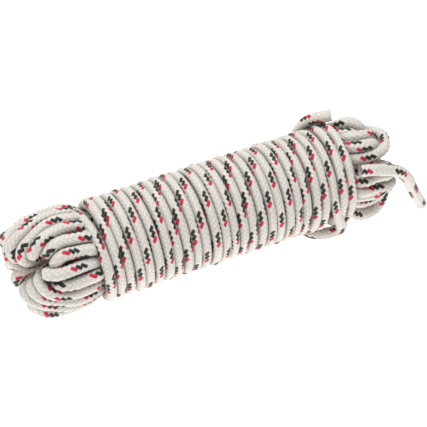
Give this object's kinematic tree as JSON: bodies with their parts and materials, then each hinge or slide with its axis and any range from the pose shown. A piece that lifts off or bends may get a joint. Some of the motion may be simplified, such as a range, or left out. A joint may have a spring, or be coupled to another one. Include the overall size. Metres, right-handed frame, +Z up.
{
  "type": "rope hank",
  "caption": "Hank of braided rope: lengthwise bights bound round the middle by close frapping turns, folds showing at both ends, a loose running end and a short tucked end.",
  "frame": {"origin": "centre of the underside of the hank's bounding box, on the surface it lies on", "axes": "+X along the hank towards the end with the loose running end, +Z up, -Y the front, where the slack turn and the running end hang"},
  "size_m": [0.2808, 0.0707, 0.072],
  "materials": {
    "braided_sheath": "white braided polypropylene with green and red tracer yarns",
    "core_filaments": "straight white filaments",
    "melted_end": "rope yarns fused by heat"
  },
  "bodies": {
    "hank": {"bight_01": "braided_sheath", "bight_02": "braided_sheath", "bight_03": "braided_sheath", "bight_04": "braided_sheath", "bight_05": "braided_sheath", "bight_06": "braided_sheath", "bight_07": "braided_sheath", "bight_08": "braided_sheath", "bight_09": "braided_sheath", "bight_10": "braided_sheath", "bight_11": "braided_sheath", "bight_12": "braided_sheath", "bight_13": "braided_sheath", "bight_14": "braided_sheath", "bight_15": "braided_sheath", "bight_16": "braided_sheath", "bight_17": "braided_sheath", "bight_18": "braided_sheath", "bight_19": "braided_sheath", "running_end_root": "braided_sheath", "slack_turn": "braided_sheath", "wrap_turn_01": "braided_sheath", "wrap_turn_02": "braided_sheath", "wrap_turn_03": "braided_sheath", "wrap_turn_04": "braided_sheath", "wrap_turn_05": "braided_sheath", "wrap_turn_06": "braided_sheath", "wrap_turn_07": "braided_sheath", "wrap_turn_08": "braided_sheath", "wrap_turn_09": "braided_sheath", "wrap_turn_10": "braided_sheath", "wrap_turn_11": "braided_sheath", "wrap_turn_12": "braided_sheath", "wrap_turn_13": "braided_sheath", "wrap_turn_14": "braided_sheath", "wrap_turn_15": "braided_sheath", "wrap_turn_16": "braided_sheath", "wrap_turn_17": "braided_sheath", "wrap_turn_18": "braided_sheath", "wrap_turn_19": "braided_sheath", "wrap_turn_20": "braided_sheath", "wrap_turn_21": "braided_sheath", "wrap_turn_22": "braided_sheath", "wrap_turn_23": "braided_sheath", "wrap_turn_24": "braided_sheath", "wrap_turn_26": "braided_sheath", "wrap_turn_27": "braided_sheath"},
    "running_end": {"running_end_core": "core_filaments", "running_end_seal": "melted_end", "running_end_sheath": "braided_sheath"},
    "tucked_end": {"tucked_end_core": "core_filaments", "tucked_end_seal": "melted_end", "tucked_end_sheath": "braided_sheath"}
  },
  "joints": [
    {"name": "running_end_lift", "type": "hinge", "parent": "hank", "child": "running_end", "pos_m": [0.10493, -0.03055, 0.0532], "axis": [0, -1, 0], "range_deg": [0, 75]},
    {"name": "tucked_end_lift", "type": "hinge", "parent": "hank", "child": "tucked_end", "pos_m": [0.06153, 0.02065, 0.06663], "axis": [0, -0.866, 0.5], "range_deg": [0, 40]}
  ]
}
